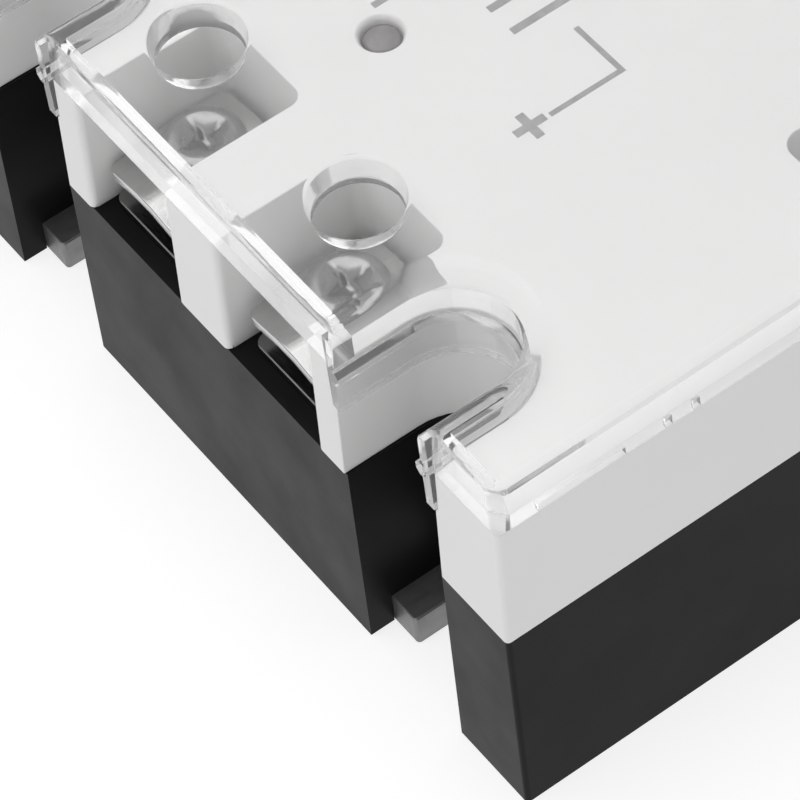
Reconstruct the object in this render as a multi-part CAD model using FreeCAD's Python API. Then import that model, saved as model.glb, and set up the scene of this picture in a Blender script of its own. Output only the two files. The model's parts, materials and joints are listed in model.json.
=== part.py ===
import FreeCAD, Part
import math
import os

os.makedirs("parts", exist_ok=True)

# Driving dimensions in millimetres. X runs along the long side and the input
# end is at -X. Z is up and the mounting face of the base plate is at Z = 0.
LENGTH = 105.0
WIDTH = 74.0
PARTING_Z = 19.5
UPPER_TOP_Z = 31.4
COVER_TOP_Z = 36.0
CORNER_R = 0.4

# Outline at the four levels where the side faces change their slope.
LOWER_TOP_LENGTH = 104.4
LOWER_TOP_WIDTH = 73.4
UPPER_FOOT_LENGTH = 104.7
UPPER_FOOT_WIDTH = 73.7
UPPER_TOP_LENGTH = 103.8
UPPER_TOP_WIDTH = 73.3
COVER_TOP_LENGTH = 103.0
COVER_TOP_WIDTH = 72.8

# Mounting notches: four U shapes open at the short ends.
MOUNT_X = 45.8
MOUNT_Y = 23.45
NOTCH_R = 5.6
NOTCH_WALL = 2.0
UPPER_NOTCH_R = 5.8
UPPER_NOTCH_TOP_R = 6.1
NOTCH_STEP_Z = 27.1
SLOT_R = 2.65

# Base plate.
PLATE_T = 3.0
PLATE_LENGTH = 100.6
PLATE_WIDTH = 69.4
PLATE_GAP = 0.05
BASE_SCREW_XY = [(-30.0, -31.4), (-30.0, 31.4), (45.0, -11.0), (45.0, 11.0)]
BASE_SCREW_R = 1.45
BASE_HEAD_R = 2.9
BASE_SCREW_TOP_Z = 12.0
BOSS_R = 3.2
BOSS_TOP_Z = 17.0

# Input terminals on the short end at -X.
INPUT_Y = 9.0
INPUT_SCREW_X = -45.0
INPUT_POCKET_Y0 = 3.2
INPUT_POCKET_Y1 = 14.4
INPUT_POCKET_BACK_X = -39.3
INPUT_SHANK_R = 1.75
INPUT_HEAD_R = 3.3
INPUT_HEAD_H = 2.3
INPUT_NUT_WIDTH = 5.5
INPUT_COVER_HOLE_R = 3.7
INPUT_COVER_HOLE_X = -43.55
INPUT_COVER_HOLE_Y = 9.75

# Output terminals: three on each long side.
OUTPUT_X = [-8.7, 10.8, 30.3]
OUTPUT_POCKET_W = 15.0
OUTPUT_POCKET_BACK_Y = 22.3
OUTPUT_SCREW_Y = 29.6
OUTPUT_SHANK_R = 2.45
OUTPUT_HEAD_R = 4.6
OUTPUT_HEAD_H = 2.9
OUTPUT_NUT_WIDTH = 8.0
OUTPUT_COVER_HOLE_R = 5.1

# Terminal details shared by both sizes.
STRAP_T = 1.0
STRAP_TOP_Z = PARTING_Z + STRAP_T
RUNNING_GAP = 0.05
NUT_T = 3.2
BLOCK_FOOT_Z = 9.0
SHANK_WELL_GAP = 0.5
CLAMP_BOTTOM_Z = 23.4
CLAMP_T = 0.9
FLAP_ANGLE = 10.0
POCKET_WALL = 1.5

# Circuit board and what stands on it.
BOARD_BOTTOM_Z = 16.0
BOARD_T = 1.6
BOARD_TOP_Z = BOARD_BOTTOM_Z + BOARD_T
BOARD_X0 = -36.8
BOARD_X1 = 37.6
BOARD_HALF_Y = 19.4
LED_X = -31.45
LED_Y = 4.55
LED_R = 1.45
LED_CROWN_H = 0.4
LED_BODY_H = 4.4
LED_FLANGE_H = 0.8
LED_TOP_Z = 31.15
LED_WIRE_PITCH = 2.54
LED_WIRE_R = 0.25
LED_HOLE_R = 1.6
LED_MOUTH_R = 1.88
LED_MOUTH_DEPTH = 0.45

# Power parts on the base plate.
INSULATOR_T = 1.0
PAD_T = 0.4
CHIP_T = 0.5
POTTING_TOP_Z = 11.0

# Clear cover.
COVER_WALL_T = 1.4
COVER_SHEET_T = 2.4
COVER_CORNER_R = 1.2
COVER_EDGE_R = 0.6
COVER_NOTCH_R = 5.05
COVER_SKIRT_R = 5.95
COVER_SKIRT_Z = 27.3
COVER_LIP_R = 1.8
COVER_SKIRT_LENGTH = 104.4
COVER_BEAD_R = 4.5
COVER_BEAD_LENGTH = 104.6
COVER_BEAD_Z = 31.2
COVER_FOOT_Z = UPPER_TOP_Z + 0.03
HOLE_TAPER = 0.15
HOLE_RIM_R = 0.3
FOOT_NOTCH_X = [34.9, 37.3]


def vec(x, y, z=0.0):
    return FreeCAD.Vector(x, y, z)


def box(x0, x1, y0, y1, z0, z1):
    return Part.makeBox(x1 - x0, y1 - y0, z1 - z0, vec(x0, y0, z0))


def cylinder(x, y, z0, z1, radius):
    return Part.makeCylinder(radius, z1 - z0, vec(x, y, z0))


def fuse_all(shapes):
    result = shapes[0]
    for shape in shapes[1:]:
        result = result.fuse(shape)
    return result.removeSplitter()


def cut_all(body, tools):
    for tool in tools:
        body = body.cut(tool)
    return body


def rounded_outline(length, width, z, radius):
    """Closed wire of a rectangle with rounded corners, centred on the origin."""
    hx = length / 2.0
    hy = width / 2.0
    diagonal = radius * (1.0 - math.sqrt(0.5))
    corners = [(1, -1), (1, 1), (-1, 1), (-1, -1)]
    edges = []
    points = []
    for sx, sy in corners:
        on_y_side = vec(sx * (hx - radius), sy * hy, z)
        on_x_side = vec(sx * hx, sy * (hy - radius), z)
        middle = vec(sx * (hx - diagonal), sy * (hy - diagonal), z)
        if sx * sy < 0:
            points.append((on_y_side, middle, on_x_side))
        else:
            points.append((on_x_side, middle, on_y_side))
    for index, (start, middle, end) in enumerate(points):
        edges.append(Part.Arc(start, middle, end).toShape())
        following = points[(index + 1) % 4][0]
        edges.append(Part.LineSegment(end, following).toShape())
    return Part.Wire(edges)


def tapered_block(foot, top, z0, z1, radius):
    """Solid between two rounded rectangles given as (length, width)."""
    lower = rounded_outline(foot[0], foot[1], z0, radius)
    upper = rounded_outline(top[0], top[1], z1, radius)
    return Part.makeLoft([lower, upper], True, True)


def notch_shape(sx, sy, radius, z0, z1, reach=LENGTH):
    """U shaped prism round one mounting point, open towards the short end."""
    centre_x = sx * MOUNT_X
    centre_y = sy * MOUNT_Y
    end_x = sx * reach / 2.0
    low = min(centre_x, end_x)
    high = max(centre_x, end_x)
    straight = box(low, high, centre_y - radius, centre_y + radius, z0, z1)
    return straight.fuse(cylinder(centre_x, centre_y, z0, z1, radius))


def all_notches(radius, z0, z1, reach=LENGTH + 10.0):
    shapes = []
    for sx in (-1, 1):
        for sy in (-1, 1):
            shapes.append(notch_shape(sx, sy, radius, z0, z1, reach))
    return shapes


def input_pocket(sy, grow, z0, z1, front_x):
    y0 = min(sy * (INPUT_POCKET_Y0 - grow), sy * (INPUT_POCKET_Y1 + grow))
    y1 = max(sy * (INPUT_POCKET_Y0 - grow), sy * (INPUT_POCKET_Y1 + grow))
    return box(front_x, INPUT_POCKET_BACK_X + grow, y0, y1, z0, z1)


def output_pocket(x, sy, grow, z0, z1, front_y):
    half = OUTPUT_POCKET_W / 2.0 + grow
    inner = OUTPUT_POCKET_BACK_Y - grow
    y0 = min(sy * inner, sy * front_y)
    y1 = max(sy * inner, sy * front_y)
    return box(x - half, x + half, y0, y1, z0, z1)


def round_vertical_edges(shape, radius, wanted):
    """Fillet the vertical straight edges whose middle passes the wanted test."""
    edges = []
    for edge in shape.Edges:
        if len(edge.Vertexes) < 2:
            continue
        start = edge.Vertexes[0].Point
        end = edge.Vertexes[-1].Point
        upright = abs(start.x - end.x) < 0.001 and abs(start.y - end.y) < 0.001
        if upright and wanted(start.x, start.y):
            edges.append(edge)
    return shape.makeFillet(radius, edges)


def edges_at_level(shape, z):
    """Edges that lie flat at the given height."""
    edges = []
    for edge in shape.Edges:
        if abs(edge.BoundBox.ZMin - z) < 0.01 and abs(edge.BoundBox.ZMax - z) < 0.01:
            edges.append(edge)
    return edges


def input_cavities():
    """Open terminal pockets of the input end, with rounded back corners."""
    shapes = []
    for sy in (-1, 1):
        pocket = input_pocket(sy, 0.0, PARTING_Z - 1.0, UPPER_TOP_Z + 1.0, -60.0)
        pocket = round_vertical_edges(pocket, 1.2, lambda x, y: x > -50.0)
        shapes.append(pocket)
    return shapes


def output_cavities():
    """Open terminal pockets of the long sides, with rounded back corners."""
    shapes = []
    for sy in (-1, 1):
        for x in OUTPUT_X:
            pocket = output_pocket(x, sy, 0.0, PARTING_Z - 1.0, UPPER_TOP_Z + 1.0, 45.0)
            pocket = round_vertical_edges(pocket, 1.5, lambda px, py: abs(py) < 30.0)
            shapes.append(pocket)
    return shapes


def screw_places():
    """Name, x, y and size of every terminal screw."""
    places = []
    for name, sy in (("in_minus", 1), ("in_plus", -1)):
        places.append((name, INPUT_SCREW_X, sy * INPUT_Y, "input"))
    for side, sy in (("line", -1), ("load", 1)):
        for number, x in enumerate(OUTPUT_X):
            name = side + "_" + str(number + 1)
            places.append((name, x, sy * OUTPUT_SCREW_Y, "output"))
    return places


def shank_radius(kind):
    return INPUT_SHANK_R if kind == "input" else OUTPUT_SHANK_R


def terminal_wells():
    """Nut pockets and blind holes below the terminal screws."""
    shapes = []
    for name, x, y, kind in screw_places():
        radius = shank_radius(kind)
        width = INPUT_NUT_WIDTH if kind == "input" else OUTPUT_NUT_WIDTH
        half = width / 2.0 + 0.05
        nut_z = PARTING_Z - NUT_T
        shapes.append(box(x - half, x + half, y - half, y + half, nut_z, PARTING_Z + 1.0))
        shapes.append(cylinder(x, y, BLOCK_FOOT_Z + 1.2, PARTING_Z, radius + SHANK_WELL_GAP))
    return shapes


def make_lower_housing():
    outer = tapered_block((LENGTH, WIDTH), (LOWER_TOP_LENGTH, LOWER_TOP_WIDTH),
                          0.0, PARTING_Z, CORNER_R)
    pocket_x = PLATE_LENGTH / 2.0 + PLATE_GAP
    pocket_y = PLATE_WIDTH / 2.0 + PLATE_GAP
    plate_pocket = box(-pocket_x, pocket_x, -pocket_y, pocket_y, -1.0, PLATE_T)
    inner_x = PLATE_LENGTH / 2.0 - 0.4
    inner_y = PLATE_WIDTH / 2.0 - 0.4
    cavity = box(-inner_x, inner_x, -inner_y, inner_y, PLATE_T, PARTING_Z + 1.0)
    shell = outer.cut(plate_pocket).cut(cavity)
    pieces = [shell]
    for wall in all_notches(NOTCH_R + NOTCH_WALL, PLATE_T, PARTING_Z, 2.0 * inner_x + 0.6):
        pieces.append(wall)
    for sy in (-1, 1):
        pieces.append(input_pocket(sy, POCKET_WALL, BLOCK_FOOT_Z, PARTING_Z, -inner_x - 0.5))
        for x in OUTPUT_X:
            block = output_pocket(x, sy, 0.0, BLOCK_FOOT_Z, PARTING_Z, inner_y + 0.4)
            pieces.append(block)
            for side in (-1, 1):
                shelf_x0 = min(x + side * 3.6, x + side * 6.4)
                shelf_x1 = max(x + side * 3.6, x + side * 6.4)
                shelf_y0 = min(sy * 18.0, sy * 23.0)
                shelf_y1 = max(sy * 18.0, sy * 23.0)
                pieces.append(box(shelf_x0, shelf_x1, shelf_y0, shelf_y1, 13.0, BOARD_BOTTOM_Z))
    for x, y in BASE_SCREW_XY:
        pieces.append(cylinder(x, y, PLATE_T, BOSS_TOP_Z, BOSS_R))
        if x > 0.0:
            pieces.append(box(x + 1.5, inner_x + 0.5, y - 1.0, y + 1.0, PLATE_T, BOSS_TOP_Z))
    body = fuse_all(pieces)
    body = cut_all(body, all_notches(NOTCH_R, -1.0, PARTING_Z + 1.0))
    body = cut_all(body, terminal_wells())
    for x, y in BASE_SCREW_XY:
        body = body.cut(cylinder(x, y, PLATE_T - 1.0, BASE_SCREW_TOP_Z + 0.5, BASE_SCREW_R))
    return body.removeSplitter()


def make_base_plate():
    half_x = PLATE_LENGTH / 2.0
    half_y = PLATE_WIDTH / 2.0
    plate = box(-half_x, half_x, -half_y, half_y, 0.0, PLATE_T)
    for slot in all_notches(SLOT_R, -1.0, PLATE_T + 1.0):
        plate = plate.cut(slot)
    plate = round_vertical_edges(plate, 0.35, lambda x, y: abs(x) > half_x - 0.1)
    for x, y in BASE_SCREW_XY:
        plate = plate.cut(cylinder(x, y, -1.0, PLATE_T + 1.0, BASE_SCREW_R + 0.15))
        sink = Part.makeCone(BASE_HEAD_R + 0.1, BASE_SCREW_R + 0.1, 1.6, vec(x, y, -0.01))
        plate = plate.cut(sink)
    return plate


def make_base_screws():
    """Countersunk screws that hold the base plate, cross slot on the underside."""
    screws = []
    for x, y in BASE_SCREW_XY:
        head = Part.makeCone(BASE_HEAD_R, BASE_SCREW_R, 1.5, vec(x, y, 0.1))
        shank = cylinder(x, y, 1.5, BASE_SCREW_TOP_Z, BASE_SCREW_R)
        screw = head.fuse(shank)
        screw = screw.cut(box(x - 1.7, x + 1.7, y - 0.3, y + 0.3, 0.0, 0.9))
        screw = screw.cut(box(x - 0.3, x + 0.3, y - 1.7, y + 1.7, 0.0, 0.9))
        screws.append(screw)
    return Part.makeCompound(screws)


def make_upper_housing():
    outer = tapered_block((UPPER_FOOT_LENGTH, UPPER_FOOT_WIDTH), (UPPER_TOP_LENGTH, UPPER_TOP_WIDTH),
                          PARTING_Z, UPPER_TOP_Z, CORNER_R)
    inner_x = PLATE_LENGTH / 2.0 - 0.8
    inner_y = PLATE_WIDTH / 2.0 - 0.3
    cavity = box(-inner_x, inner_x, -inner_y, inner_y, PARTING_Z - 1.0, UPPER_TOP_Z - 2.2)
    pieces = [outer.cut(cavity)]
    for wall in all_notches(UPPER_NOTCH_TOP_R + 1.6, PARTING_Z, UPPER_TOP_Z, 2.0 * inner_x + 0.6):
        pieces.append(wall)
    for sy in (-1, 1):
        pieces.append(input_pocket(sy, POCKET_WALL, PARTING_Z, UPPER_TOP_Z, -inner_x - 0.3))
        for x in OUTPUT_X:
            pieces.append(output_pocket(x, sy, POCKET_WALL, PARTING_Z, UPPER_TOP_Z, inner_y + 0.3))
    pieces.append(cylinder(LED_X, LED_Y, 26.0, UPPER_TOP_Z - 1.0, LED_HOLE_R + 1.0))
    body = fuse_all(pieces)
    body = cut_all(body, input_cavities())
    body = cut_all(body, output_cavities())
    body = cut_all(body, all_notches(UPPER_NOTCH_R, PARTING_Z - 1.0, UPPER_TOP_Z + 1.0))
    body = cut_all(body, all_notches(UPPER_NOTCH_TOP_R, NOTCH_STEP_Z, UPPER_TOP_Z + 1.0))
    body = body.cut(cylinder(LED_X, LED_Y, 25.0, UPPER_TOP_Z + 1.0, LED_HOLE_R))
    body = body.cut(lamp_hole_mouth())
    body = cut_all(body, strap_slots())
    return round_pocket_mouths(body.removeSplitter(), 0.6)


def lamp_hole_mouth():
    """Cone that widens the lamp hole at the top face."""
    foot = vec(LED_X, LED_Y, UPPER_TOP_Z - LED_MOUTH_DEPTH)
    return Part.makeCone(LED_HOLE_R, LED_MOUTH_R, LED_MOUTH_DEPTH, foot)


def round_pocket_mouths(shape, radius):
    """Fillet the upright edges where the input pockets open in the end face."""
    edges = []
    for edge in shape.Edges:
        size = edge.BoundBox
        upright = size.ZLength > 8.0 and size.XLength < 1.0 and size.YLength < 0.1
        if upright and size.XMax < -51.5 and abs(size.YMin) < INPUT_POCKET_Y1 + 0.5:
            edges.append(edge)
    return shape.makeFillet(radius, edges)


def strap_slots():
    """Room for the terminal straps where they pass below the pocket walls."""
    slots = []
    for sy in (-1, 1):
        y = sy * INPUT_Y
        x1 = INPUT_POCKET_BACK_X + 5.0
        slots.append(box(-44.0, x1, y - 2.6, y + 2.6, PARTING_Z - 1.0, STRAP_TOP_Z))
        for x in OUTPUT_X:
            y0 = min(sy * 18.0, sy * 26.0)
            y1 = max(sy * 18.0, sy * 26.0)
            slots.append(box(x - 3.1, x + 3.1, y0, y1, PARTING_Z - 1.0, STRAP_TOP_Z))
    return slots


def make_input_straps():
    """Input terminal plates with a leg down to the circuit board."""
    straps = []
    for sy in (-1, 1):
        y = sy * INPUT_Y
        half = 4.9
        plate = box(-50.7, INPUT_POCKET_BACK_X - 0.1, y - half, y + half, PARTING_Z, STRAP_TOP_Z)
        plate = round_vertical_edges(plate, 1.0, lambda px, py: True)
        neck = box(-42.0, -36.9, y - 2.5, y + 2.5, PARTING_Z, STRAP_TOP_Z)
        leg = box(-37.7, -36.9, y - 2.5, y + 2.5, BOARD_TOP_Z, STRAP_TOP_Z)
        foot = box(-37.7, -34.6, y - 2.5, y + 2.5, BOARD_TOP_Z, BOARD_TOP_Z + 0.8)
        strap = fuse_all([plate, neck, leg, foot])
        strap = strap.cut(cylinder(INPUT_SCREW_X, y, 18.0, 22.0, INPUT_SHANK_R + RUNNING_GAP))
        straps.append(strap)
    return Part.makeCompound(straps)


def make_output_straps():
    """Output terminal plates with a leg down to the power stage."""
    straps = []
    foot_z = PLATE_T + INSULATOR_T + PAD_T
    for sy in (-1, 1):
        for x in OUTPUT_X:
            flat_y0 = min(sy * 22.5, sy * 35.6)
            flat_y1 = max(sy * 22.5, sy * 35.6)
            plate = box(x - 6.6, x + 6.6, flat_y0, flat_y1, PARTING_Z, STRAP_TOP_Z)
            plate = round_vertical_edges(plate, 1.4, lambda px, py: True)
            neck = box(x - 3.0, x + 3.0, min(sy * 20.2, sy * 25.0), max(sy * 20.2, sy * 25.0),
                       PARTING_Z, STRAP_TOP_Z)
            leg = box(x - 3.0, x + 3.0, min(sy * 20.2, sy * 21.2), max(sy * 20.2, sy * 21.2),
                      foot_z, STRAP_TOP_Z)
            foot = box(x - 3.0, x + 3.0, min(sy * 10.0, sy * 21.2), max(sy * 10.0, sy * 21.2),
                       foot_z, foot_z + STRAP_T)
            strap = fuse_all([plate, neck, leg, foot])
            hole = cylinder(x, sy * OUTPUT_SCREW_Y, 18.0, 22.0, OUTPUT_SHANK_R + RUNNING_GAP)
            straps.append(strap.cut(hole))
    return Part.makeCompound(straps)


def make_nuts(kind):
    """Captive square nuts under the terminal plates."""
    nuts = []
    width = INPUT_NUT_WIDTH if kind == "input" else OUTPUT_NUT_WIDTH
    for name, x, y, place_kind in screw_places():
        if place_kind != kind:
            continue
        half = width / 2.0
        nut = box(x - half, x + half, y - half, y + half, PARTING_Z - NUT_T, PARTING_Z)
        nut = nut.common(cylinder(x, y, PARTING_Z - NUT_T, PARTING_Z, half * 1.32))
        nut = nut.cut(cylinder(x, y, 10.0, 22.0, shank_radius(kind) + RUNNING_GAP))
        nuts.append(nut)
    return Part.makeCompound(nuts)


def make_clamp(x, y, kind):
    """Clamp plate bent to a shallow roof, its ridge along the wire."""
    along_x = kind == "input"
    front = 5.75 if along_x else 6.2
    back = 5.1 if along_x else 6.0
    flat = 1.8 if along_x else 2.4
    flap = 4.1 if along_x else 5.0
    angle = math.radians(FLAP_ANGLE)
    half = flat / 2.0
    out = flap * math.cos(angle)
    down = flap * math.sin(angle)
    tip_x = CLAMP_T * math.sin(angle)
    tip_z = CLAMP_T * math.cos(angle)
    shoulder = CLAMP_T * math.tan(angle / 2.0)
    low = CLAMP_BOTTOM_Z
    high = CLAMP_BOTTOM_Z + CLAMP_T
    profile = [
        (-half - out, low - down),
        (-half, low),
        (half, low),
        (half + out, low - down),
        (half + out + tip_x, low - down + tip_z),
        (half + shoulder, high),
        (-half - shoulder, high),
        (-half - out - tip_x, low - down + tip_z),
    ]
    points = [vec(-front, across, z) for across, z in profile]
    face = Part.Face(Part.makePolygon(points + [points[0]]))
    clamp = face.extrude(vec(front + back, 0, 0))
    corners = [edge for edge in clamp.Edges if edge.Length < CLAMP_T + 0.1]
    clamp = clamp.makeFillet(1.0, corners)
    clamp = clamp.cut(cylinder(0, 0, 18.0, 28.0, shank_radius(kind) + RUNNING_GAP))
    if not along_x:
        clamp.rotate(vec(0, 0, 0), vec(0, 0, 1), 90.0 if y < 0.0 else -90.0)
    clamp.translate(vec(x, y, 0))
    return clamp


def cross_recess(x, y, top_z, size, depth):
    """Tapered cross cut into a screw head."""
    tools = []
    for turn in (0.0, 90.0):
        profile = [
            vec(-size, 0, 0),
            vec(size, 0, 0),
            vec(size * 0.45, 0, -depth),
            vec(-size * 0.45, 0, -depth),
        ]
        face = Part.Face(Part.makePolygon(profile + [profile[0]]))
        blade = face.extrude(vec(0, size * 0.42, 0))
        blade.translate(vec(0, -size * 0.21, 0))
        blade.rotate(vec(0, 0, 0), vec(0, 0, 1), turn)
        blade.translate(vec(x, y, top_z))
        tools.append(blade)
    return tools


def make_terminal_screw(x, y, kind):
    """Pan head screw standing on its clamp, with a plain shank."""
    if kind == "input":
        radius = INPUT_HEAD_R
        height = INPUT_HEAD_H
    else:
        radius = OUTPUT_HEAD_R
        height = OUTPUT_HEAD_H
    seat = CLAMP_BOTTOM_Z + CLAMP_T
    head = cylinder(x, y, seat, seat + height, radius)
    head = head.makeFillet(height * 0.45, edges_at_level(head, seat + height))
    shank = cylinder(x, y, PARTING_Z - 5.2, seat + 0.5, shank_radius(kind))
    tip_r = shank_radius(kind) - 0.4
    tip = Part.makeCone(tip_r, tip_r + 0.4, 0.4, vec(x, y, PARTING_Z - 5.6))
    screw = fuse_all([head, shank, tip])
    return cut_all(screw, cross_recess(x, y, seat + height + 0.01, radius * 0.52, height * 0.62))


def make_circuit_board():
    board = box(BOARD_X0, BOARD_X1, -BOARD_HALF_Y, BOARD_HALF_Y, BOARD_BOTTOM_Z, BOARD_TOP_Z)
    for sx, sy in ((1, -1), (1, 1)):
        relief = NOTCH_R + NOTCH_WALL + 4.6
        board = board.cut(cylinder(sx * MOUNT_X, sy * MOUNT_Y, 10.0, 20.0, relief))
    for offset in (-LED_WIRE_PITCH / 2.0, LED_WIRE_PITCH / 2.0):
        board = board.cut(cylinder(LED_X, LED_Y + offset, 15.0, 18.0, LED_WIRE_R + 0.1))
    return board


def make_led():
    """Status lamp with a low crown, on two wires soldered to the circuit board."""
    foot_z = LED_TOP_Z - LED_CROWN_H - LED_BODY_H
    crown_r = (LED_R ** 2 + LED_CROWN_H ** 2) / (2.0 * LED_CROWN_H)
    shoulder_z = LED_TOP_Z - LED_CROWN_H
    body = cylinder(LED_X, LED_Y, foot_z, shoulder_z, LED_R)
    ball = Part.makeSphere(crown_r, vec(LED_X, LED_Y, LED_TOP_Z - crown_r))
    crown = ball.common(cylinder(LED_X, LED_Y, shoulder_z, LED_TOP_Z + 1.0, LED_R + 1.0))
    flange = cylinder(LED_X, LED_Y, foot_z, foot_z + LED_FLANGE_H, LED_R + 0.1)
    return fuse_all([body, crown, flange])


def make_led_leads():
    leads = []
    top = LED_TOP_Z - LED_CROWN_H - LED_BODY_H
    for offset in (-LED_WIRE_PITCH / 2.0, LED_WIRE_PITCH / 2.0):
        leads.append(cylinder(LED_X, LED_Y + offset, BOARD_BOTTOM_Z - 0.8, top, LED_WIRE_R))
    return Part.makeCompound(leads)


def make_optocouplers():
    """Three trigger isolators, each with six legs on the board."""
    chips = []
    for x in OUTPUT_X:
        body = box(x - 3.6, x + 3.6, -3.2, 3.2, BOARD_TOP_Z + 0.5, BOARD_TOP_Z + 3.9)
        legs = []
        for step in (-2.54, 0.0, 2.54):
            for sy in (-1, 1):
                y0 = min(sy * 3.0, sy * 4.1)
                y1 = max(sy * 3.0, sy * 4.1)
                x0 = x + step - 0.4
                x1 = x + step + 0.4
                legs.append(box(x0, x1, y0, y1, BOARD_TOP_Z + 1.6, BOARD_TOP_Z + 2.0))
                y0 = min(sy * 3.8, sy * 4.1)
                y1 = max(sy * 3.8, sy * 4.1)
                legs.append(box(x0, x1, y0, y1, BOARD_TOP_Z, BOARD_TOP_Z + 2.0))
        chips.append(fuse_all([body] + legs))
    return Part.makeCompound(chips)


def make_resistors():
    """Gate and snubber resistors lying across the board."""
    resistors = []
    for x in OUTPUT_X:
        for y in (-8.5, 8.5):
            axis = vec(1, 0, 0)
            body = Part.makeCylinder(1.3, 6.4, vec(x - 3.2, y, BOARD_TOP_Z + 1.5), axis)
            wire = Part.makeCylinder(0.3, 10.6, vec(x - 5.3, y, BOARD_TOP_Z + 1.5), axis)
            pieces = [body, wire]
            for side in (-1, 1):
                pieces.append(cylinder(x + side * 5.0, y, BOARD_TOP_Z, BOARD_TOP_Z + 1.5, 0.25))
            resistors.append(fuse_all(pieces))
    return Part.makeCompound(resistors)


def make_capacitors():
    """Box film capacitors of the three snubbers."""
    capacitors = []
    for x in OUTPUT_X:
        body = box(x - 6.2, x + 6.2, 11.4, 16.6, BOARD_TOP_Z, BOARD_TOP_Z + 8.6)
        capacitors.append(round_vertical_edges(body, 0.5, lambda px, py: True))
    return Part.makeCompound(capacitors)


def make_varistors():
    """Disc varistors that protect the three switched phases."""
    discs = []
    for x in OUTPUT_X:
        pieces = [Part.makeCylinder(4.4, 3.6, vec(x, -16.0, BOARD_TOP_Z + 4.6), vec(0, 1, 0))]
        for side in (-1, 1):
            pieces.append(cylinder(x + side * 2.5, -14.2, BOARD_TOP_Z, BOARD_TOP_Z + 3.0, 0.35))
        discs.append(fuse_all(pieces))
    return Part.makeCompound(discs)


def make_input_regulator():
    """Three-legged regulator that feeds the trigger isolators."""
    pieces = [box(-27.4, -22.8, -3.0, 0.6, BOARD_TOP_Z + 1.0, BOARD_TOP_Z + 5.2)]
    for x in (-26.9, -25.3, -23.7):
        pieces.append(box(x, x + 0.6, -1.4, -1.0, BOARD_TOP_Z, BOARD_TOP_Z + 1.2))
    return fuse_all(pieces)


def make_input_capacitor():
    top_z = BOARD_TOP_Z + 7.5
    can = cylinder(-25.0, -9.5, BOARD_TOP_Z, top_z, 2.6)
    return can.makeFillet(0.4, edges_at_level(can, top_z))


def make_insulators():
    """Ceramic plates between the power stage and the base plate."""
    plates = []
    for x in OUTPUT_X:
        plates.append(box(x - 8.5, x + 8.5, -15.5, 15.5, PLATE_T, PLATE_T + INSULATOR_T))
    return Part.makeCompound(plates)


def make_copper_pads():
    pads = []
    z0 = PLATE_T + INSULATOR_T
    for x in OUTPUT_X:
        for sy in (-1, 1):
            y0 = min(sy * 0.8, sy * 14.5)
            y1 = max(sy * 0.8, sy * 14.5)
            pads.append(box(x - 7.5, x + 7.5, y0, y1, z0, z0 + PAD_T))
    return Part.makeCompound(pads)


def make_thyristor_chips():
    """Two power chips for every phase, one on each copper pad."""
    chips = []
    z0 = PLATE_T + INSULATOR_T + PAD_T
    for x in OUTPUT_X:
        for sy in (-1, 1):
            y0 = min(sy * 1.6, sy * 9.2)
            y1 = max(sy * 1.6, sy * 9.2)
            chips.append(box(x - 3.8, x + 3.8, y0, y1, z0, z0 + CHIP_T))
    return Part.makeCompound(chips)


def make_potting(neighbours):
    """Cast resin over the power stage, shaped by everything it surrounds."""
    inner_x = PLATE_LENGTH / 2.0 - 0.4
    inner_y = PLATE_WIDTH / 2.0 - 0.4
    resin = box(-inner_x, inner_x, -inner_y, inner_y, PLATE_T, POTTING_TOP_Z)
    resin = cut_all(resin, all_notches(NOTCH_R + 0.5, PLATE_T - 1.0, POTTING_TOP_Z + 1.0))
    resin = cut_all(resin, neighbours)
    solids = sorted(resin.Solids, key=lambda solid: -solid.Volume)
    return solids[0]


def cover_holes():
    holes = []
    for sy in (-1, 1):
        holes.append((INPUT_COVER_HOLE_X, sy * INPUT_COVER_HOLE_Y, INPUT_COVER_HOLE_R))
        for x in OUTPUT_X:
            holes.append((x, sy * OUTPUT_SCREW_Y, OUTPUT_COVER_HOLE_R))
    return holes


def cover_hole_cut(x, y, radius):
    """Funnel that opens one driver hole, narrower at its foot."""
    z0 = COVER_TOP_Z - COVER_SHEET_T - 1.0
    z1 = COVER_TOP_Z + 1.0
    foot_r = radius - HOLE_TAPER * (COVER_TOP_Z - z0)
    top_r = radius + HOLE_TAPER * (z1 - COVER_TOP_Z)
    return Part.makeCone(foot_r, top_r, z1 - z0, vec(x, y, z0))


def lip_profile(side):
    """Half section of a notch mouth that widens upwards in a quarter round."""
    low = COVER_TOP_Z - COVER_LIP_R
    wide = COVER_NOTCH_R + COVER_LIP_R
    bend = COVER_LIP_R * (1.0 - math.sqrt(0.5))
    start = vec(0, side * COVER_NOTCH_R, low)
    middle = vec(0, side * (COVER_NOTCH_R + bend), COVER_TOP_Z - bend)
    end = vec(0, side * wide, COVER_TOP_Z)
    above = vec(0, side * wide, COVER_TOP_Z + 1.0)
    above_centre = vec(0, 0, COVER_TOP_Z + 1.0)
    edges = [
        Part.LineSegment(vec(0, 0, low), start).toShape(),
        Part.Arc(start, middle, end).toShape(),
        Part.LineSegment(end, above).toShape(),
        Part.LineSegment(above, above_centre).toShape(),
        Part.LineSegment(above_centre, vec(0, 0, low)).toShape(),
    ]
    return Part.Face(Part.Wire(edges))


def notch_lip_cuts(sx, sy):
    """Broad rounding where the cover sheet turns down into one notch."""
    centre = vec(sx * MOUNT_X, sy * MOUNT_Y)
    reach = LENGTH / 2.0 - MOUNT_X + 1.0
    cuts = [lip_profile(1).revolve(vec(0, 0, 0), vec(0, 0, 1), 360.0)]
    for side in (-1, 1):
        cuts.append(lip_profile(side).extrude(vec(sx * reach, 0, 0)))
    for cut in cuts:
        cut.translate(centre)
    return cuts


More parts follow.
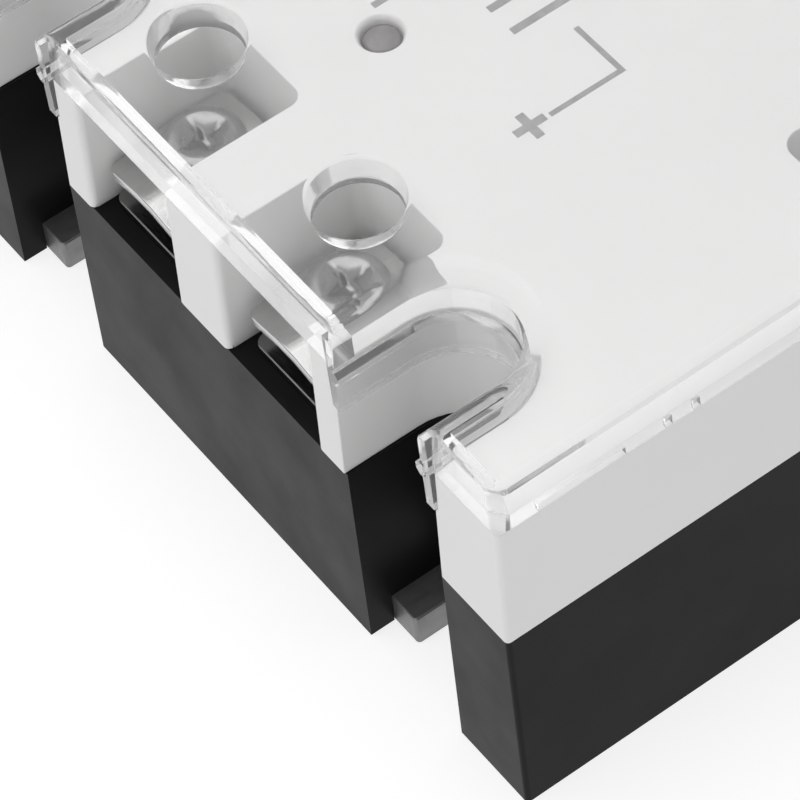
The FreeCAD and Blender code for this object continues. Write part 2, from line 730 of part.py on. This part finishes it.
def round_hole_rims(shape):
    """Fillet the upper rims of the driver holes."""
    rims = []
    for edge in edges_at_level(shape, COVER_TOP_Z):
        if len(edge.Vertexes) == 1:
            rims.append(edge)
    return shape.makeFillet(HOLE_RIM_R, rims)


def foot_notches(sx, sy):
    """Small notches in the foot of one long cover wall, beside the pry slot."""
    notches = []
    face_y = UPPER_TOP_WIDTH / 2.0
    y0 = min(sy * (face_y - 0.4), sy * (face_y + 0.1))
    y1 = max(sy * (face_y - 0.4), sy * (face_y + 0.1))
    for x in FOOT_NOTCH_X:
        x0 = sx * x - 0.3
        notches.append(box(x0, x0 + 0.6, y0, y1, COVER_FOOT_Z - 0.1, COVER_FOOT_Z + 0.9))
    return notches


def make_cover_bead(sx, sy):
    """Pointed rib that runs round the inside of one cover notch."""
    z0 = COVER_BEAD_Z - 0.7
    z1 = COVER_BEAD_Z + 0.7
    rib = notch_shape(sx, sy, COVER_NOTCH_R + 0.3, z0, z1, COVER_BEAD_LENGTH)
    rib = rib.cut(notch_shape(sx, sy, COVER_BEAD_R, z0 - 1.0, z1 + 1.0, LENGTH + 10.0))
    inner = []
    for edge in edges_at_level(rib, z0) + edges_at_level(rib, z1):
        middle = edge.valueAt((edge.FirstParameter + edge.LastParameter) / 2.0)
        along = min(abs(middle.x) - MOUNT_X, 0.0)
        across = abs(middle.y) - MOUNT_Y
        if abs(math.hypot(along, across) - COVER_BEAD_R) < 0.05:
            inner.append(edge)
    return rib.makeChamfer(0.4, inner)


def make_clear_cover():
    outer = tapered_block((UPPER_TOP_LENGTH, UPPER_TOP_WIDTH), (COVER_TOP_LENGTH, COVER_TOP_WIDTH),
                          COVER_FOOT_Z, COVER_TOP_Z, COVER_CORNER_R)
    outer = outer.makeFillet(COVER_EDGE_R, edges_at_level(outer, COVER_TOP_Z))
    inner_x = COVER_TOP_LENGTH / 2.0 - COVER_WALL_T
    inner_y = COVER_TOP_WIDTH / 2.0 - COVER_WALL_T
    room_top = COVER_TOP_Z - COVER_SHEET_T
    room = box(-inner_x, inner_x, -inner_y, inner_y, UPPER_TOP_Z - 1.0, room_top)
    pieces = [outer.cut(room)]
    for wall in all_notches(COVER_SKIRT_R, COVER_SKIRT_Z, COVER_TOP_Z - 0.9, COVER_SKIRT_LENGTH):
        pieces.append(wall)
    body = fuse_all(pieces)
    body = cut_all(body, all_notches(COVER_NOTCH_R, COVER_SKIRT_Z - 1.0, COVER_TOP_Z + 1.0))
    for sx in (-1, 1):
        for sy in (-1, 1):
            body = cut_all(body, notch_lip_cuts(sx, sy))
    for x, y, radius in cover_holes():
        body = body.cut(cover_hole_cut(x, y, radius))
    body = round_hole_rims(body)
    for sx in (-1, 1):
        for sy in (-1, 1):
            body = body.fuse(make_cover_bead(sx, sy))
            pry_x0 = min(sx * 41.0, sx * 48.4)
            pry_x1 = max(sx * 41.0, sx * 48.4)
            pry_y0 = min(sy * 36.0, sy * 38.0)
            pry_y1 = max(sy * 36.0, sy * 38.0)
            body = body.cut(box(pry_x0, pry_x1, pry_y0, pry_y1, COVER_FOOT_Z - 0.1, COVER_FOOT_Z + 0.7))
            body = cut_all(body, foot_notches(sx, sy))
    return body.removeSplitter()


def save(name, shape):
    shape.exportStep(os.path.join("parts", name + ".step"))


def main():
    lower = make_lower_housing()
    insulators = make_insulators()
    pads = make_copper_pads()
    chips = make_thyristor_chips()
    straps = make_output_straps()
    save("lower_housing", lower)
    save("upper_housing", make_upper_housing())
    save("base_plate", make_base_plate())
    save("base_screws", make_base_screws())
    save("input_straps", make_input_straps())
    save("output_straps", straps)
    save("input_nuts", make_nuts("input"))
    save("output_nuts", make_nuts("output"))
    save("circuit_board", make_circuit_board())
    save("led", make_led())
    save("led_leads", make_led_leads())
    save("optocouplers", make_optocouplers())
    save("resistors", make_resistors())
    save("snubber_capacitors", make_capacitors())
    save("varistors", make_varistors())
    save("input_regulator", make_input_regulator())
    save("input_capacitor", make_input_capacitor())
    save("ceramic_insulators", insulators)
    save("copper_pads", pads)
    save("thyristor_chips", chips)
    save("potting", make_potting([lower, insulators, pads, chips, straps]))
    save("clear_cover", make_clear_cover())
    for name, x, y, kind in screw_places():
        save("clamp_" + name, make_clamp(x, y, kind))
        save("screw_" + name, make_terminal_screw(x, y, kind))


main()
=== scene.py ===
import json
import math

import bmesh
import bpy
from mathutils import Matrix, Vector


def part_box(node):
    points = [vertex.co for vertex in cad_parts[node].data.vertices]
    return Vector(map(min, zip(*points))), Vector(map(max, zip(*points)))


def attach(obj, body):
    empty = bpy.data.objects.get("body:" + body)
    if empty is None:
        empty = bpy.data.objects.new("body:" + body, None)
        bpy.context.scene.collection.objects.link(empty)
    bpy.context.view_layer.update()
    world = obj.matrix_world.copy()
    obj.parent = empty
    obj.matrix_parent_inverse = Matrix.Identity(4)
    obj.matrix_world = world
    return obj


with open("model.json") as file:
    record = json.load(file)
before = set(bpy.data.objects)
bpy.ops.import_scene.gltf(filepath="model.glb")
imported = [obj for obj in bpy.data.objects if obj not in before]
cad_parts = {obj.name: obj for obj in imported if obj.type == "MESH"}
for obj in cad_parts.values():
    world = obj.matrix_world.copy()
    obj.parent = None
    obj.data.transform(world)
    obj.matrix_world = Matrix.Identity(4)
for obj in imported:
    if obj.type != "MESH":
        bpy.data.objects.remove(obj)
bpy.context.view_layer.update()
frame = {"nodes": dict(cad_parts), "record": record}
NODES = frame["nodes"]
MM = 0.001

# Camera: places in metres, angles in degrees, lens in millimetres.
CAMERA_TARGET = Vector((-0.0475, -0.0186, 0.025))
CAMERA_DISTANCE = 0.3368
CAMERA_AZIMUTH = -29.27
CAMERA_ELEVATION = 51.87
CAMERA_ROLL = 8.76
CAMERA_LENS = 216.5
CAMERA_CLIP_START = 0.01
CAMERA_CLIP_END = 20.0

# Studio: places and sizes in metres, powers in watts.
WORLD_STRENGTH = 0.42
TOP_LIGHT_PLACE = (-0.12, 0.12, 0.75)
TOP_LIGHT_TARGET = (0.0, 0.0, 0.0)
TOP_LIGHT_SIZE = 0.90
TOP_LIGHT_POWER = 2.55
LEFT_LIGHT_PLACE = (-0.70, -0.10, 0.30)
LEFT_LIGHT_TARGET = (0.0, 0.0, 0.02)
LEFT_LIGHT_SIZE = 0.50
LEFT_LIGHT_POWER = 0.30
FLOOR_HALF = 3.0
FLOOR_GLOW = 0.74

# How the CAD nodes are smoothed, in millimetres and degrees.
WELD_MM = 0.002
FLAT_ANGLE = 0.5
BEVEL_ANGLE = 35.0
CLAMP_BEVEL = (0.14, 2)

# Printed marks on the white top, in millimetres.
MARK_STROKE = 0.45
WAVE_Y = 19.4
WAVE_HALF_LENGTH = 2.0
WAVE_HEIGHT = 0.7
WAVE_HALF_STROKE = 0.25
WAVE_STEPS = 24
DIRECT_X0 = -24.2
DASH_LENGTH = 2.2
DASH_PITCH = 3.4
POWER_TERMINALS = ("line_1", "line_2", "line_3", "load_1", "load_2", "load_3")


# ---------------------------------------------------------------- camera and light

def make_camera():
    azimuth = math.radians(CAMERA_AZIMUTH)
    elevation = math.radians(CAMERA_ELEVATION)
    forward = Vector((-math.sin(azimuth) * math.cos(elevation),
                      math.cos(azimuth) * math.cos(elevation),
                      -math.sin(elevation)))
    data = bpy.data.cameras.new("camera")
    data.lens = CAMERA_LENS
    data.clip_start = CAMERA_CLIP_START
    data.clip_end = CAMERA_CLIP_END
    camera = bpy.data.objects.new("camera", data)
    turn = forward.to_track_quat("-Z", "Y").to_matrix().to_4x4()
    roll = Matrix.Rotation(-math.radians(CAMERA_ROLL), 4, "Z")
    place = Matrix.Translation(CAMERA_TARGET - CAMERA_DISTANCE * forward)
    camera.matrix_world = place @ turn @ roll
    bpy.context.scene.collection.objects.link(camera)
    bpy.context.scene.camera = camera


def make_area_light(name, place, target, size, power):
    data = bpy.data.lights.new(name, "AREA")
    data.shape = "DISK"
    data.size = size
    data.energy = power
    light = bpy.data.objects.new(name, data)
    light.location = place
    light.rotation_euler = (Vector(target) - Vector(place)).to_track_quat("-Z", "Y").to_euler()
    bpy.context.scene.collection.objects.link(light)


def make_studio():
    world = bpy.data.worlds.new("studio")
    world.use_nodes = True
    background = world.node_tree.nodes["Background"]
    background.inputs["Color"].default_value = (1.0, 1.0, 1.0, 1.0)
    background.inputs["Strength"].default_value = WORLD_STRENGTH
    bpy.context.scene.world = world
    bpy.context.scene.view_settings.view_transform = "Standard"
    make_area_light("top_light", TOP_LIGHT_PLACE, TOP_LIGHT_TARGET, TOP_LIGHT_SIZE, TOP_LIGHT_POWER)
    make_area_light("left_light", LEFT_LIGHT_PLACE, LEFT_LIGHT_TARGET, LEFT_LIGHT_SIZE, LEFT_LIGHT_POWER)


def make_floor():
    floor_mesh = bpy.data.meshes.new("floor")
    half = FLOOR_HALF
    corners = [(-half, -half, 0.0), (half, -half, 0.0), (half, half, 0.0), (-half, half, 0.0)]
    floor_mesh.from_pydata(corners, [], [(0, 1, 2, 3)])
    floor = bpy.data.objects.new("floor", floor_mesh)
    bpy.context.scene.collection.objects.link(floor)
    material, tree, shader = new_material("floor_paper", grey(0.38), 0.9)
    vary_colour(tree, shader, grey(0.37), grey(0.39), 4.0)
    shader.inputs["Emission Color"].default_value = (1.0, 1.0, 1.0, 1.0)
    shader.inputs["Emission Strength"].default_value = FLOOR_GLOW
    floor_mesh.materials.append(material)


# ---------------------------------------------------------------- material helpers

def new_material(name, colour, roughness, metallic=0.0):
    material = bpy.data.materials.new(name)
    material.use_nodes = True
    tree = material.node_tree
    shader = tree.nodes["Principled BSDF"]
    shader.inputs["Base Color"].default_value = colour
    shader.inputs["Roughness"].default_value = roughness
    shader.inputs["Metallic"].default_value = metallic
    return material, tree, shader


def noise_node(tree, scale, detail=4.0, stretch=(1.0, 1.0, 1.0)):
    """Noise in the object's own metres; stretch makes it run along an axis."""
    place = tree.nodes.new("ShaderNodeTexCoord")
    mapping = tree.nodes.new("ShaderNodeMapping")
    mapping.inputs["Scale"].default_value = stretch
    noise = tree.nodes.new("ShaderNodeTexNoise")
    noise.inputs["Scale"].default_value = scale
    noise.inputs["Detail"].default_value = detail
    tree.links.new(place.outputs["Object"], mapping.inputs["Vector"])
    tree.links.new(mapping.outputs["Vector"], noise.inputs["Vector"])
    return noise


def ramp_node(tree, source, low, high, start=0.35, end=0.65):
    ramp = tree.nodes.new("ShaderNodeValToRGB")
    ramp.color_ramp.elements[0].position = start
    ramp.color_ramp.elements[1].position = end
    ramp.color_ramp.elements[0].color = low
    ramp.color_ramp.elements[1].color = high
    tree.links.new(source, ramp.inputs["Fac"])
    return ramp


def vary_colour(tree, shader, low, high, scale, stretch=(1.0, 1.0, 1.0)):
    noise = noise_node(tree, scale, 5.0, stretch)
    ramp = ramp_node(tree, noise.outputs["Fac"], low, high)
    tree.links.new(ramp.outputs["Color"], shader.inputs["Base Color"])
    return ramp


def vary_roughness(tree, shader, low, high, scale, stretch=(1.0, 1.0, 1.0)):
    noise = noise_node(tree, scale, 4.0, stretch)
    spread = tree.nodes.new("ShaderNodeMapRange")
    spread.inputs["From Min"].default_value = 0.3
    spread.inputs["From Max"].default_value = 0.7
    spread.inputs["To Min"].default_value = low
    spread.inputs["To Max"].default_value = high
    tree.links.new(noise.outputs["Fac"], spread.inputs["Value"])
    tree.links.new(spread.outputs["Result"], shader.inputs["Roughness"])


def add_grain(tree, shader, scale, depth, strength=1.0, stretch=(1.0, 1.0, 1.0)):
    """Fine surface relief of the given depth in metres."""
    noise = noise_node(tree, scale, 3.0, stretch)
    bump = tree.nodes.new("ShaderNodeBump")
    bump.inputs["Strength"].default_value = strength
    bump.inputs["Distance"].default_value = depth
    tree.links.new(noise.outputs["Fac"], bump.inputs["Height"])
    tree.links.new(bump.outputs["Normal"], shader.inputs["Normal"])


def grey(value, alpha=1.0):
    return (value, value, value, alpha)


# ---------------------------------------------------------------- materials

def black_case_material():
    material, tree, shader = new_material("black_case", grey(0.01), 0.4)
    shader.inputs["IOR"].default_value = 1.155
    vary_colour(tree, shader, (0.0085, 0.0085, 0.009, 1.0), (0.0125, 0.0125, 0.013, 1.0), 60.0)
    vary_roughness(tree, shader, 0.30, 0.40, 180.0)
    add_grain(tree, shader, 2600.0, 0.000006)
    return material


def white_case_material():
    material, tree, shader = new_material("white_case", grey(0.8), 0.4)
    shader.inputs["IOR"].default_value = 1.25
    vary_colour(tree, shader, (0.80, 0.80, 0.795, 1.0), (0.82, 0.82, 0.815, 1.0), 35.0)
    vary_roughness(tree, shader, 0.36, 0.46, 160.0)
    add_grain(tree, shader, 2200.0, 0.000008)
    shader.inputs["Subsurface Weight"].default_value = 0.08
    shader.inputs["Subsurface Radius"].default_value = (0.0012, 0.0011, 0.0010)
    shader.inputs["Subsurface Scale"].default_value = 1.0
    return material


def clear_plastic_material():
    material, tree, shader = new_material("clear_plastic", (0.99, 0.99, 0.99, 1.0), 0.05)
    shader.inputs["Transmission Weight"].default_value = 0.93
    shader.inputs["IOR"].default_value = 1.27
    vary_roughness(tree, shader, 0.03, 0.06, 260.0)
    add_grain(tree, shader, 300.0, 0.000006, 0.3)
    return material


def plated_metal_material(name, tone, rough_low, rough_high, stretch):
    material, tree, shader = new_material(name, grey(tone), rough_low, 1.0)
    low = (tone * 0.94, tone * 0.935, tone * 0.925, 1.0)
    high = (tone, tone, tone * 0.99, 1.0)
    vary_colour(tree, shader, low, high, 500.0, stretch)
    vary_roughness(tree, shader, rough_low, rough_high, 900.0, stretch)
    add_grain(tree, shader, 1400.0, 0.000001, 0.3, stretch)
    return material


def lens_material():
    material, tree, shader = new_material("led_lens", (0.55, 0.50, 0.50, 1.0), 0.18)
    shader.inputs["Transmission Weight"].default_value = 0.35
    shader.inputs["IOR"].default_value = 1.5
    vary_colour(tree, shader, (0.24, 0.22, 0.22, 1.0), (0.34, 0.32, 0.32, 1.0), 900.0)
    vary_roughness(tree, shader, 0.12, 0.25, 700.0)
    return material


def board_material():
    material, tree, shader = new_material("board_laminate", (0.02, 0.16, 0.06, 1.0), 0.3)
    vary_colour(tree, shader, (0.015, 0.13, 0.05, 1.0), (0.03, 0.21, 0.08, 1.0), 220.0, (1.0, 6.0, 1.0))
    vary_roughness(tree, shader, 0.22, 0.38, 400.0)
    add_grain(tree, shader, 1500.0, 0.00003, 0.6, (1.0, 5.0, 1.0))
    return material


def moulded_material(name, colour, roughness, scale):
    """Small parts: a moulded or dipped body with slight mottling and grain."""
    material, tree, shader = new_material(name, (*colour, 1.0), roughness)
    low = tuple(channel * 0.85 for channel in colour) + (1.0,)
    high = tuple(min(channel * 1.12, 1.0) for channel in colour) + (1.0,)
    vary_colour(tree, shader, low, high, scale)
    vary_roughness(tree, shader, roughness * 0.85, min(roughness * 1.2, 1.0), scale * 2.0)
    add_grain(tree, shader, scale * 6.0, 0.00001, 0.6)
    return material


def copper_material():
    material, tree, shader = new_material("copper", (0.75, 0.40, 0.25, 1.0), 0.3, 1.0)
    vary_colour(tree, shader, (0.62, 0.31, 0.19, 1.0), (0.80, 0.46, 0.30, 1.0), 500.0)
    vary_roughness(tree, shader, 0.22, 0.45, 900.0)
    return material


MATERIALS = {
    "black_case": black_case_material(),
    "white_case": white_case_material(),
    "clear_plastic": clear_plastic_material(),
    "base_metal": plated_metal_material("base_metal", 0.25, 0.40, 0.55, (1.0, 8.0, 1.0)),
    "steel_screws": plated_metal_material("steel_screws", 0.62, 0.25, 0.40, (1.0, 1.0, 3.0)),
    "strap_metal": plated_metal_material("strap_metal", 0.30, 0.16, 0.24, (6.0, 1.0, 1.0)),
    "clamp_metal": plated_metal_material("clamp_metal", 0.62, 0.16, 0.24, (1.0, 5.0, 1.0)),
    "screw_metal": plated_metal_material("screw_metal", 0.355, 0.18, 0.28, (1.0, 1.0, 1.0)),
    "board_laminate": board_material(),
    "led_lens": lens_material(),
    "tinned_wire": plated_metal_material("tinned_wire", 0.7, 0.28, 0.40, (1.0, 1.0, 6.0)),
    "chip_epoxy": moulded_material("chip_epoxy", (0.03, 0.03, 0.032), 0.5, 400.0),
    "resistor_body": moulded_material("resistor_body", (0.30, 0.46, 0.55), 0.35, 500.0),
    "capacitor_case": moulded_material("capacitor_case", (0.50, 0.07, 0.04), 0.3, 300.0),
    "varistor_coating": moulded_material("varistor_coating", (0.05, 0.12, 0.38), 0.28, 350.0),
    "capacitor_can": plated_metal_material("capacitor_can", 0.55, 0.25, 0.38, (1.0, 1.0, 4.0)),
    "ceramic_plate": moulded_material("ceramic_plate", (0.84, 0.83, 0.79), 0.55, 600.0),
    "copper": copper_material(),
    "silicon": moulded_material("silicon", (0.10, 0.11, 0.14), 0.15, 900.0),
    "casting_resin": moulded_material("casting_resin", (0.05, 0.05, 0.055), 0.25, 120.0),
}
PRINT_INK = moulded_material("print_ink", (0.31, 0.31, 0.31), 0.5, 800.0)


# ---------------------------------------------------------------- CAD nodes

# Bevel of each node: width in millimetres and segments. Clamps have CLAMP_BEVEL, the rest none.
BEVELS = {
    "lower_housing": (0.20, 2),
    "upper_housing": (0.16, 2),
    "clear_cover": (0.10, 2),
    "base_plate": (0.18, 2),
    "circuit_board": (0.05, 1),
    "input_straps": (0.12, 2),
    "output_straps": (0.12, 2),
    "snubber_capacitors": (0.25, 2),
    "optocouplers": (0.08, 1),
}


def dress_node(name, material, bevel_mm, segments):
    """Rounds the arrises of a CAD node and gives it its material."""
    node = NODES[name]
    node.data.materials.clear()
    node.data.materials.append(material)
    weld = node.modifiers.new("weld", "WELD")
    weld.merge_threshold = WELD_MM * MM
    if bevel_mm > 0.0:
        flatten = node.modifiers.new("flatten", "DECIMATE")
        flatten.decimate_type = "DISSOLVE"
        flatten.angle_limit = math.radians(FLAT_ANGLE)
        bevel = node.modifiers.new("bevel", "BEVEL")
        bevel.width = bevel_mm * MM
        bevel.segments = segments
        bevel.limit_method = "ANGLE"
        bevel.angle_limit = math.radians(BEVEL_ANGLE)
        bevel.use_clamp_overlap = True
    normals = node.modifiers.new("normals", "WEIGHTED_NORMAL")
    normals.keep_sharp = False
    node.data.shade_smooth()


def dress_all_nodes():
    for entry in frame["record"]["subparts"]:
        name = entry["node"]
        width, segments = BEVELS.get(name, (0.0, 1))
        if name.startswith("clamp_"):
            width, segments = CLAMP_BEVEL
        dress_node(name, MATERIALS[entry["material_slot"]], width, segments)
    # Light falls through the clear cover onto what lies under it.
    NODES["clear_cover"].visible_shadow = False


# ---------------------------------------------------------------- printed marks

PRINT_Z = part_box("upper_housing")[1].z
PRINT_T = 0.02 * MM


def add_print(name, outline):
    """Flat printed mark with the given closed outline, on the white top."""
    mesh = bmesh.new()
    ring = [mesh.verts.new((x * MM, y * MM, PRINT_Z)) for x, y in outline]
    face = mesh.faces.new(ring)
    if face.normal.z < 0.0:
        face.normal_flip()
    raised = bmesh.ops.extrude_face_region(mesh, geom=[face])
    lifted = [item for item in raised["geom"] if isinstance(item, bmesh.types.BMVert)]
    bmesh.ops.translate(mesh, verts=lifted, vec=(0.0, 0.0, PRINT_T))
    bmesh.ops.recalc_face_normals(mesh, faces=mesh.faces)
    data = bpy.data.meshes.new(name)
    mesh.to_mesh(data)
    mesh.free()
    mark = bpy.data.objects.new(name, data)
    data.materials.append(PRINT_INK)
    bpy.context.scene.collection.objects.link(mark)
    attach(mark, "housing")


def bar_outline(x0, x1, y0, y1):
    return [(x0, y0), (x1, y0), (x1, y1), (x0, y1)]


def plus_outline(x, y, reach, half):
    return [(x - reach, y - half), (x - half, y - half), (x - half, y - reach), (x + half, y - reach),
            (x + half, y - half), (x + reach, y - half), (x + reach, y + half), (x + half, y + half),
            (x + half, y + reach), (x - half, y + reach), (x - half, y + half), (x - reach, y + half)]


def bracket_outline(sy):
    """L shaped rule that ties a control terminal to the marking between them."""
    x0, x1 = -26.9, -20.2
    y0, y1 = 4.3, 9.95
    inner_x = x1 - MARK_STROKE
    inner_y = y1 - MARK_STROKE
    points = [(x1, y0), (x1, y1), (x0, y1), (x0, inner_y), (inner_x, inner_y), (inner_x, y0)]
    return [(x, sy * y) for x, y in points]


def wave_outline(x, side):
    """Alternating-current sign: one sine wave with a stroke."""
    points = []
    for step in range(WAVE_STEPS + 1):
        share = step / WAVE_STEPS
        angle = 2.0 * math.pi * share
        px = x - WAVE_HALF_LENGTH + 2.0 * WAVE_HALF_LENGTH * share
        points.append((px, side * WAVE_Y + WAVE_HEIGHT * math.sin(angle)))
    lower = [(px, py - WAVE_HALF_STROKE) for px, py in points]
    upper = [(px, py + WAVE_HALF_STROKE) for px, py in reversed(points)]
    return lower + upper


def add_printed_marks():
    add_print("print_plus", plus_outline(-28.6, -9.6, 1.35, 0.36))
    add_print("print_minus", bar_outline(-30.35, -27.70, 6.80, 7.40))
    add_print("print_bracket_a", bracket_outline(-1))
    add_print("print_bracket_b", bracket_outline(1))
    add_print("print_direct_bar", bar_outline(DIRECT_X0, -15.2, -1.95, -1.25))
    for number in range(3):
        x0 = DIRECT_X0 + DASH_PITCH * number
        add_print("print_direct_dash_%d" % (number + 1), bar_outline(x0, x0 + DASH_LENGTH, 0.85, 1.55))
    for name in POWER_TERMINALS:
        low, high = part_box("screw_" + name)
        x = (low.x + high.x) / 2.0 / MM
        side = 1.0 if low.y > 0.0 else -1.0
        add_print("print_wave_" + name, wave_outline(x, side))


dress_all_nodes()
add_printed_marks()
make_camera()
make_studio()
make_floor()
